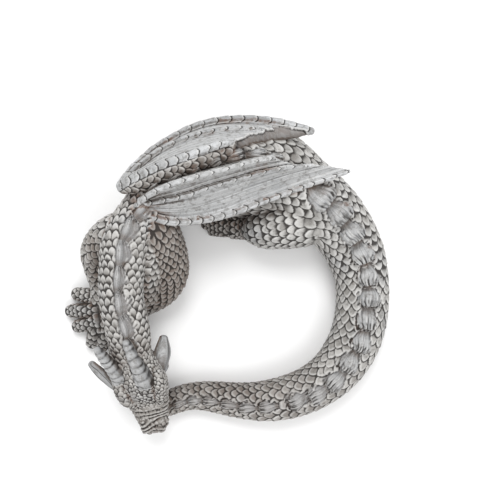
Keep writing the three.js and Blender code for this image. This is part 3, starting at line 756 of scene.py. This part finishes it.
def fin_marks(points, chosen):
    """Bare skin, streaks, staining and painted shade at the root, ribs, painted shade at the tip and pale
    middle of the fins.
    """
    bare, fan, stain_and_shade, ribs, tip_shade, pale = (np.zeros(len(points)) for _ in range(6))
    cells = Cells(points, 4.0)
    for k in chosen:
        place, path = fins[k], leaves[k]
        middle = place.foot + RING_MIDDLE + place.top * place.tall * 0.4
        near = cells.near(middle, place.long * 0.75)
        length, side, over, out = along_form(points[near], path, 24)
        length = length / path.length
        ragged = 0.34 * waves(points[near], 1.3, 17) + 0.2 * waves(points[near], 3.5, 18)
        upright = place.outline is BLADE
        out = np.hypot(side / np.where(side > 0, *place.flank), over * 0.25) + ragged
        mask = falling(out, 1.15, 0.3) * rising(length, -0.1, 0.15) * falling(length, 1.1, 0.06)
        better = mask > bare[near]
        own, mask, length, side = near[better], mask[better], length[better], side[better]
        bare[own] = mask
        spread = side * np.interp(length, (0, 0.45, 1), (1.3, 1.0, 1.15))
        fan[own] = place.broad * spread + 31.0 * k
        wander = 3.0 * waves(points[own], 4.0, 5)
        split = np.sin(FIN_RIBS[0] * spread + wander) + 0.7 * np.sin(FIN_RIBS[1] * spread + 2 * wander)
        strength = (0.07 + 0.2 * np.clip(length - 0.4, 0, 0.7)) * (0.6 if upright else 1)
        strength = strength * (1 + 0.7 * waves(points[own], 3.0, 8))
        ribs[own] = strength * mask * split
        # Painted shade in streaks on the steep end of each fin, under its tip.
        tufts = np.sin(TIP_SHADE_STREAKS * spread + 4 * waves(points[own], 2.0, 7))
        tip_shade[own] = rising(length, 0.74, 0.14) * mask * share(0.3 + 0.7 * tufts)
        # The right flank of an upright blade is painted browner as painted shade; each fin's root, under
        # the tip of the one before, gets staining and painted shade.
        shaded = 0.55 * rising(side, 0.5, 0.5) if upright else 0
        stain_and_shade[own] = np.maximum(falling(length, 0.34, 0.16), shaded) * mask
        middle_part = share(1.2 - np.abs(side))
        pale[own] = middle_part * rising(length, 0.3, 0.2) * falling(length, 0.9, 0.15) * mask
    return bare, fan, stain_and_shade, ribs, tip_shade, pale


def finished_trunk(name, forms, seeds, chosen, sign):
    """Scaled skin with its chosen fins. It sinks past the crossing, on the side of the sign."""
    obj = fused(name, forms + [limb(leaves[k], 1.6) for k in chosen], TRUNK_FINENESS)
    points, normals = read_skin(obj)
    bare, fan, stain_and_shade, ribs, tip_shade, pale = fin_marks(points, chosen)
    height, tone = press(points, normals, snapped(obj, seeds), bare)
    reached = along_form(points, spine, 400)[0]
    beyond = sign * (reached - crossing)
    stain_and_shade = np.maximum(stain_and_shade, along_spine(reached, PATINA) * (0.75 + 0.35 * waves(points, 7.0, 21)))
    sunk = SUNK * share(beyond / BLEND) ** 2
    x, y, z = points.T
    beside_neck = rising(x, -68, 8) * falling(x, -20, 12) * falling(y, 34, 12) * falling(z, 52, 6)
    x, y, z = (points - RING_MIDDLE).T
    # Painted shade: the body under the inner wing's edge is painted darker and browner.
    shade_under_wing = (rising(x, -42, 8) * falling(x, 20, 8) * rising(y, 66, 4) * falling(y, 90, 5)
                  * rising(z, 45, 5) * (1 - bare))
    stain_and_shade = np.maximum.reduce([stain_and_shade, 0.8 * beside_neck * (1 - bare), shade_under_wing])
    fields = {"gap": 0.5 * tip_shade + 0.8 * shade_under_wing, "tone": tone, "bare": bare, "strand": fan,
              "stain_and_shade": stain_and_shade, "light": 0.75 * pale}
    carve(obj, points, normals, height - 0.15 + ribs - sunk, fields, of=height + ribs,
          wash_and_shade=along_spine(reached, NECK_WASH_AND_SHADE))
    return thinned(obj, TRUNK_FINENESS[2])


body_seeds = list(spine_seeds)
for group, (rows, width) in enumerate(BODY_FORMS, 1):
    body_seeds += scale_rows(group, rows, width)
front_of_spine = limb(spine, 3, stop=crossing + HIDDEN_OVERLAP)
beside_spine = [limb(rows) for rows in (BACK_RIDGE, BREAST, SHOULDER, FLANK, INNER_THIGH, OUTER_THIGH)]
body = finished_trunk("body", [front_of_spine] + beside_spine, body_seeds, range(first_behind), 1)
tail = finished_trunk("tail", [limb(spine, 3, start=crossing - HIDDEN_OVERLAP)], spine_seeds,
                      range(first_behind, len(fins)), -1)


# Legs and paws

def finished_legs(name, limbs, toes, toe_scale, fineness, stain_and_shade):
    forms = [rows for rows, _ in limbs] + [toe(rows) for rows in toes]
    obj = fused(name, [limb(rows) for rows in forms], fineness)
    points, normals = read_skin(obj)
    seeds = []
    for group, (rows, scales) in enumerate(limbs):
        seeds += scale_rows(group, rows, **scales)
    for group, rows in enumerate(toes, 100):
        seeds += scale_rows(group, toe(rows), toe_scale, 0.3, long=1.3, lift=0.8)
    height, tone = press(points, normals, snapped(obj, seeds), np.zeros(len(points)))
    stain_and_shade_amount = stain_and_shade(*(points - RING_MIDDLE).T)
    carve(obj, points, normals, height - 0.1, {"tone": tone, "stain_and_shade": stain_and_shade_amount}, wash_and_shade=1 + 0.35 * stain_and_shade_amount)
    return thinned(obj, fineness[2])


def foreleg_stain(x, y, _):
    """The inner foreleg is brown, and so is a short band across the outer one."""
    band = np.exp(-((x + 98) / 7) ** 2) * falling(np.abs(y - 8), 26, 12)
    return np.maximum(np.clip((x + 66) / 14, 0.25, 1), band)


forelegs = finished_legs(
    "forelegs", [(OUTER_FORELEG, {"width": 6.4}),
                 (INNER_FORELEG, {"width": 4.8, "pitch": 0.9, "long": 1.8, "lift": 1.7, "slant": 5})],
    FORE_TOES, 4.6, FORELEGS_FINENESS, foreleg_stain)
hind_feet = finished_legs(
    "hind_feet", [(INNER_FOOT, {"width": 5.0}), (OUTER_FOOT, {"width": 5.5})],
    HIND_TOES, 4.2, HIND_FEET_FINENESS, lambda x, y, z: np.full(len(x), 0.6))


# Wings

def finished_wing(name, wing):
    """A folded wing: cuffed fingers, a sagging skin with folds, a scaled arm and a torn hollow."""
    places, facing = membrane(wing)
    paths = [Run(tapered(rows, radii)) for rows, radii in zip(wing["fingers"], wing["radius"])]
    bones = [limb(wing["arm"])] + [limb(path, 3) for path in paths]
    obj = fused(name, [skin_sheet(places, facing)] + bones, WING_FINENESS)
    points, normals = read_skin(obj)
    # v runs from the leading to the top finger, and depth is the height over the sheet
    columns = places.shape[1]
    flat = places.reshape(-1, 3) + RING_MIDDLE
    tree = tree_of(flat)
    nearest = np.array([tree.find(point)[1] for point in points])
    offset = points - flat[nearest]
    across = np.gradient(places, axis=1).reshape(-1, 3)[nearest]
    outwards = unit(np.gradient(places, axis=0).reshape(-1, 3)[nearest])
    across -= outwards * np.sum(across * outwards, axis=1, keepdims=True)
    step = np.sum(offset * across, axis=1) / np.maximum(np.sum(across ** 2, axis=1), 0.05)
    v = (nearest % columns) / (columns - 1)
    v = share(v + np.clip(step, -1, 1) / (columns - 1))
    depth = np.sum(offset * facing.reshape(-1, 3)[nearest], axis=1)
    away = np.linalg.norm(offset, axis=1)
    over_sheet = rising(depth, 0.6, 0.5) * (v < 0.97)
    on_sheet = rising(depth, -2.4, 0.8) * np.maximum(falling(away, 3.2, 0.6), over_sheet)
    wander = waves(points, 16.0, 11)
    folds = sum(high * np.sin(2 * np.pi * (count * v + astray * wander))
                for count, high, astray in WING_FOLDS)
    on_bone, cuffed, tick_shadows = (np.zeros(len(points)) for _ in range(3))
    for path, pitch, strength in zip(paths, wing["cuff_pitch"], wing["tick_shadow_strength"]):
        length, side, over, out = along_form(points, path, 240)
        here = falling(out, 1.7, 0.35)
        turns = (length + 2.2 * np.clip(side, -1, 1) ** 2 + 0.7 * waves(points, 9.0, 61)) / pitch
        past = (turns - np.round(turns)) * pitch
        # Painted shadow: a dark line just past each cuff's step, broken up here and there.
        line = close(past, 0.3, 0.6) * falling(np.abs(side), 1.0, 0.3) * (over > -0.2)
        cuffed = np.maximum(cuffed, CUFF_STEP * (turns % 1) * here)
        uneven = share(0.8 + 0.8 * waves(points, 6.0, 62))
        tick_shadows = np.maximum(tick_shadows, strength * line * here * uneven)
        on_bone = np.maximum(on_bone, here)
    covered = np.maximum(on_sheet, on_bone)
    behind = points[:, 0] - RING_MIDDLE[0] - wing["hollow_from"]
    hollow = (1 - covered) * share(behind / 4)
    # Painted shade: the near end of the torn hollow is painted darker.
    hollow_shade = hollow * share(1 - behind / 16)
    bare = share(covered + hollow)
    laid = snapped(obj, scale_rows(0, wing["arm"], ARM_SCALE, stop=6), 1.6)
    scales, tone = press(points, normals, laid, bare)
    torn = hollow * (-1.3 + 0.5 * waves(points, 3.0, 31) + 0.25 * waves(points, 1.2, 32))
    height = np.maximum(scales, cuffed) + folds * (on_sheet * (1 - on_bone)) + torn
    stain_and_shade = share(hollow + 0.5 * (1 - covered) * (away > 3.4))
    fields = {"tone": tone, "bare": bare, "crossed": on_bone, "strand": 45 * v + 2 * wander,
              "stain_and_shade": stain_and_shade, "light": wing["light"] * covered, "gap": 0.9 * tick_shadows + 0.5 * hollow_shade}
    carve(obj, points, normals, height, fields, groove=0.2)
    return thinned(obj, WING_FINENESS[2])


wing_outer = finished_wing("wing_outer", OUTER_WING)
wing_inner = finished_wing("wing_inner", INNER_WING)


# Head, horns and ears

def finished_head():
    forwards, right, top = head_frame()
    horns = [Run(tapered(rows, radii)) for rows, radii in zip(HORNS, HORN_RADII)]
    ears = [Run([row + size for row, size in zip(rows, EAR_SIZES)], up) for rows, up in EARS]
    parts = [limb(on_head(SKULL), 3, top), limb(on_head(JAW), 3, top)]
    for side in (1, -1):
        parts += [limb(on_head(rows, side), 2, top) for rows in (BROW, NOSTRIL, CHEEK)]
        parts.append(ball(Vector(on_head([EYE], side)[0]), EYE_RADIUS))
    parts += [limb(path, 2) for path in horns + ears]
    obj = fused("head", parts, HEAD_FINENESS)
    points, normals = read_skin(obj)
    bare, relief, dark, lit = (np.zeros(len(points)) for _ in range(4))
    for path in horns:
        length, side, _, out = along_form(points, path)
        on_horn = falling(out, 1.3, 0.12) * (length > 9)
        ring = length / path.length * HORN_RINGS + 0.3 * waves(points, 4.0, 3)
        ridge = 0.5 - 0.5 * np.cos(2 * np.pi * ring)
        broken = 0.7 + 0.3 * waves(points, 2.0, 41)
        rings = HORN_RING_HEIGHT * ridge * broken + 0.12 * waves(points, 0.9, 42)
        relief = np.where(on_horn > 0, rings * on_horn, relief)
        # Painted shade and light: the grooves between the rings and the right side of the horn are painted
        # darker, its left side lighter.
        shaded = 0.45 * rising(side, 0.4, 0.5)
        dark = np.where(on_horn > 0, 0.45 * (1 - ridge) ** 3 * broken + shaded, dark)
        bare = np.maximum(bare, on_horn)
        lit = np.maximum(lit, 0.6 * falling(side, 0.3, 0.6) * on_horn)
    for path in ears:
        length, side, over, out = along_form(points, path)
        along = length / path.length
        on_ear = falling(out, 1.35, 0.15) * (along > 0.12)
        bowl = (share(1 - (side / 0.72) ** 2) * rising(along, 0.1, 0.45)
                * falling(along, 1.08, 0.3) * rising(over, 0, 0.3))
        relief = np.where(on_ear > 0, -EAR_DEPTH * bowl + 0.25 * waves(points, 3.0, 43), relief)
        # Painted shade and light: a dark line round the edge of the ear's bowl, the rest of the ear a
        # little darker, and the bowl painted lighter.
        rim_shade = close(np.abs(side), 0.7, 0.16) * (over > 0) * (along > 0.1)
        dark = np.where(on_ear > 0, 0.12 * (1 - bowl) + 0.5 * rim_shade, dark)
        bare = np.maximum(bare, on_ear)
        lit = np.maximum(lit, 0.8 * bowl * on_ear)
    from_nape = points - NAPE - RING_MIDDLE
    f, s = from_nape @ forwards, from_nape @ right
    snout = rising(f, SNOUT_STARTS, 6) * (1 - bare)
    crease = f - 0.02 * s ** 2 + SNOUT_FOLD_PITCH * waves(points, 5.0, 9) + 0.9 * waves(points, 1.8, 10)
    fold = 0.5 - 0.5 * np.cos(2 * np.pi * (crease / SNOUT_FOLD_PITCH))
    relief += snout * (SNOUT_FOLD_HEIGHT + 0.5 * waves(points, 3.0, 12)) * fold * (normals @ top > -0.2)
    lumps = 0.35 * waves(points, 2.6, 51) * (1 - bare)
    plated = (s > 5) & (f < 34)
    scaly = (bare < 0.3) & (f > -6)
    small = pebbles(points, normals, scaly & ~plated, CROWN_SCALE, 0.9, -forwards)
    plates = pebbles(points, normals, scaly & plated, CHEEK_SCALE, 0.8, -forwards)
    height, tone = press(points, normals, small + plates, np.maximum(bare, 0.4 * snout), edge=0.4)
    fields = {"gap": dark, "tone": tone, "bare": bare, "crossed": bare, "light": lit,
              "stain_and_shade": 0.3 + 0.25 * snout - 0.2 * bare}
    carve(obj, points, normals, height + relief + lumps, fields, groove=0.24)
    return thinned(obj, HEAD_FINENESS[2])


pieces = [body, tail, forelegs, hind_feet, wing_outer, wing_inner, finished_head()]


# How far each place is shut in by the forms around it; the finish paints this as patina and painted shade
# in the hollows

def shut_in(objects, rays=14, reach=30):
    """Writes to each skin how much of the air over it the statue and the floor take up."""
    whole = bmesh.new()
    for obj in objects:
        whole.from_mesh(obj.data)
    bmesh.ops.create_grid(whole, x_segments=1, y_segments=1, size=0.4)
    solid = BVHTree.FromBMesh(whole)
    whole.free()
    z = np.linspace(0.25, 0.98, rays)
    turn = np.arange(rays) * 2.4
    level = np.sqrt(1 - z ** 2)
    fan = np.column_stack([level * np.cos(turn), level * np.sin(turn), z])
    for obj in objects:
        points, normals = read_skin(obj)
        probe = np.arange(0, len(points), 7)
        across = unit(np.cross(normals[probe], [0.31, 0.52, 0.8]))
        other = np.cross(normals[probe], across)
        closed = np.zeros(len(probe))
        for k, index in enumerate(probe):
            start = Vector((points[index] + normals[index] * 0.5) * MM)
            directions = fan @ np.array([across[k], other[k], normals[index]])
            for direction in directions:
                hit = solid.ray_cast(start, direction, reach * MM)
                if hit[0] is not None:
                    closed[k] += 1 - 0.6 * hit[3] / (reach * MM)
        closed /= rays
        tree = tree_of(points[probe])
        write_field(obj, "shut", [sum(closed[k] for _, k, _ in tree.find_n(point, 3)) / 3
                                  for point in points])


shut_in(pieces)


# Finish

WARM_GREY = (0.245, 0.237, 0.223)
PALE_GREY = (0.46, 0.451, 0.436)
BLUE_GREY = (0.28, 0.293, 0.31)
PALE_BLUE = (0.43, 0.44, 0.452)
LIT_BLUE = (0.68, 0.688, 0.698)
# Brown for staining and for painted shade: under the inner wing, on the neck blades' shaded flanks and at
# the fins' roots.
STAIN_AND_SHADE_BROWN = (0.125, 0.092, 0.072)
DULL_GREY = (0.17, 0.165, 0.157)
CHALK = (0.64, 0.635, 0.62)
PATINA_AND_SHADE_BROWN = (0.085, 0.065, 0.052)
RUST_PATINA = (0.21, 0.125, 0.09)
GROOVE_BROWN = (0.022, 0.019, 0.017)
# Scale, detail and roughness of the stone's unevenness.
STONE_NOISES = [("Mottle", 260, 4, 0.65), ("Grain", 1500, 3, 0.7), ("Patch", 38, 3, 0.55)]


def noise(nodes, **values):
    node = nodes.new("ShaderNodeTexNoise")
    for name, value in values.items():
        node.inputs[name].default_value = value
    return node


def stone_group():
    """What every piece shares: slow mottling, fine grain and broad patches."""
    group = bpy.data.node_groups.new("weathered stone", "ShaderNodeTree")
    nodes, links = group.nodes, group.links
    coords = nodes.new("ShaderNodeTexCoord")
    out = nodes.new("NodeGroupOutput")
    for name, scale, detail, rough in STONE_NOISES:
        group.interface.new_socket(name=name, in_out="OUTPUT", socket_type="NodeSocketFloat")
        node = noise(nodes, Scale=scale, Detail=detail, Roughness=rough)
        links.new(coords.outputs["Object"], node.inputs["Vector"])
        links.new(node.outputs["Fac"], out.inputs[name])
    return group


def resin_material(group):
    material = bpy.data.materials.new("stone-grey resin")
    material.use_nodes = True
    nodes, links = material.node_tree.nodes, material.node_tree.links
    shader = nodes["Principled BSDF"]
    shader.inputs["Specular IOR Level"].default_value = 0.3
    masks = nodes.new("ShaderNodeGroup")
    masks.node_tree = group

    def field(name):
        node = nodes.new("ShaderNodeAttribute")
        node.attribute_name = name
        return node.outputs["Fac"]

    def feed(sockets, values):
        for socket, value in zip(sockets, values):
            if isinstance(value, bpy.types.NodeSocket):
                links.new(value, socket)
            else:
                socket.default_value = value + (1,) if isinstance(value, tuple) else value

    def math_node(operation, *values):
        node = nodes.new("ShaderNodeMath")
        node.operation = operation
        feed(node.inputs, values)
        return node.outputs[0]

    def times(first, second):
        return math_node("MULTIPLY", first, second)

    def plus(first, second):
        return math_node("ADD", first, second)

    def remap(value, low, high, to_low=0.0, to_high=1.0):
        node = nodes.new("ShaderNodeMapRange")
        node.interpolation_type = "SMOOTHSTEP"
        names = ("Value", "From Min", "From Max", "To Min", "To Max")
        feed([node.inputs[name] for name in names], (value, low, high, to_low, to_high))
        return node.outputs["Result"]

    def mix(factor, first, second):
        node = nodes.new("ShaderNodeMix")
        node.data_type = "RGBA"
        feed([node.inputs[0], node.inputs[6], node.inputs[7]], (factor, first, second))
        return node.outputs[2]

    gap, worn, tone, bare, shut, stain_and_shade, strand, light = (
        field(name) for name in ("gap", "worn", "tone", "bare", "shut", "stain_and_shade", "strand", "light"))
    mottle, grain, patch = (masks.outputs[name] for name in ("Mottle", "Grain", "Patch"))
    streaks = noise(nodes, Scale=1.3, Detail=3)
    streaks.noise_dimensions = "1D"
    links.new(strand, streaks.inputs["W"])
    streak = times(remap(streaks.outputs["Fac"], 0.35, 0.65), bare)
    scale_stone = mix(remap(tone, 0, 1), WARM_GREY, PALE_GREY)
    smooth_stone = mix(remap(patch, 0.35, 0.65), BLUE_GREY, PALE_BLUE)
    smooth_stone = mix(times(light, 0.8), smooth_stone, LIT_BLUE)
    stone = mix(times(bare, 0.85), scale_stone, smooth_stone)
    # How shut in a place is, painted browner: patina and painted shade in the hollows.
    hollow = remap(plus(shut, times(mottle, 0.15)), 0.22, 0.52)
    rust = times(remap(patch, 0.5, 0.6), remap(shut, 0.12, 0.4))
    # How far staining and painted shade turn the stone brown.
    stain_and_shade_amount = times(times(stain_and_shade, remap(patch, 0.35, 0.6, 0.75, 1.0)), remap(mottle, 0.3, 0.55, 0.8, 1.0))
    stain_and_shade_amount = times(stain_and_shade_amount, math_node("SUBTRACT", 1.0, times(streak, 0.6)))
    depth = times(gap, remap(patch, 0.38, 0.6, 0.7, 1.05))
    groove = remap(plus(depth, times(mottle, 0.3)), 0.2, 0.8)
    # coats over the plain stone, from the first to the last
    for strength, colour in (
            (remap(patch, 0.48, 0.68, 0, 0.5), BLUE_GREY), (remap(mottle, 0.52, 0.36, 0, 0.7), DULL_GREY),
            (times(streak, 0.5), DULL_GREY), (remap(grain, 0.46, 0.3, 0, 0.45), DULL_GREY),
            (remap(grain, 0.56, 0.74, 0, 0.5), CHALK), (times(hollow, 0.85), PATINA_AND_SHADE_BROWN),
            (times(rust, 0.55), RUST_PATINA), (times(stain_and_shade_amount, 0.9), STAIN_AND_SHADE_BROWN),
            (times(worn, 0.6), CHALK), (times(groove, 0.92), GROOVE_BROWN)):
        stone = mix(strength, stone, colour)
    links.new(stone, shader.inputs["Base Color"])
    links.new(remap(grain, 0.3, 0.7, 0.72, 0.9), shader.inputs["Roughness"])
    bump = nodes.new("ShaderNodeBump")
    bump.inputs["Strength"].default_value = 0.5
    bump.inputs["Distance"].default_value = 0.0004
    rough = plus(mottle, times(grain, 0.5))
    links.new(math_node("SUBTRACT", rough, times(streak, 0.9)), bump.inputs["Height"])
    links.new(bump.outputs["Normal"], shader.inputs["Normal"])
    return material


resin = resin_material(stone_group())
for piece in pieces:
    piece.data.materials.clear()
    piece.data.materials.append(resin)
    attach(piece, "root")
    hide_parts("dragon")


# Floor, light and camera

FLOOR_WHITE = (0.88, 0.88, 0.88)
SKY_STRENGTH = 0.85
# Name, place, size in metres, and power in watts.
LIGHTS = [("key light", (-0.1, 0.8, 1.3), 0.8, 13), ("fill light", (0.4, -0.8, 1.1), 0.9, 7)]
CAMERA_HEIGHT = 0.62
SENSOR = 36.0
FRAME_WIDTH_AT_FLOOR = 0.4025
FRAME_PIXELS = (500, 482)
AXIS_PIXEL = (226.5, 273.5)


def soft_light(name, place, size, power):
    light = bpy.data.lights.new(name, "AREA")
    light.shape = "DISK"
    light.size = size
    light.energy = power
    obj = as_object(name, light)
    obj.location = place
    obj.rotation_euler = (-Vector(place)).to_track_quat("-Z", "Y").to_euler()


sheet = bmesh.new()
bmesh.ops.create_grid(sheet, x_segments=1, y_segments=1, size=3)
floor = as_object("floor", as_mesh("floor", sheet))
pale = bpy.data.materials.new("pale floor")
pale.use_nodes = True
shader = pale.node_tree.nodes["Principled BSDF"]
shader.inputs["Base Color"].default_value = FLOOR_WHITE + (1,)
shader.inputs["Roughness"].default_value = 0.9
floor.data.materials.append(pale)
for light in LIGHTS:
    soft_light(*light)
world = bpy.data.worlds.new("studio")
world.use_nodes = True
sky = world.node_tree.nodes["Background"].inputs
sky["Color"].default_value = (1, 1, 1, 1)
sky["Strength"].default_value = SKY_STRENGTH
scene.world = world
scene.view_settings.view_transform = "Standard"

camera = bpy.data.cameras.new("camera")
camera.sensor_width = SENSOR
camera.lens = SENSOR * CAMERA_HEIGHT / FRAME_WIDTH_AT_FLOOR
camera.shift_x = (FRAME_PIXELS[0] / 2 - AXIS_PIXEL[0]) / FRAME_PIXELS[0]
camera.shift_y = (AXIS_PIXEL[1] - FRAME_PIXELS[1] / 2) / FRAME_PIXELS[0]
camera_object = as_object("camera", camera)
camera_object.location = (RING_MIDDLE[0] * MM, RING_MIDDLE[1] * MM, CAMERA_HEIGHT)
scene.camera = camera_object
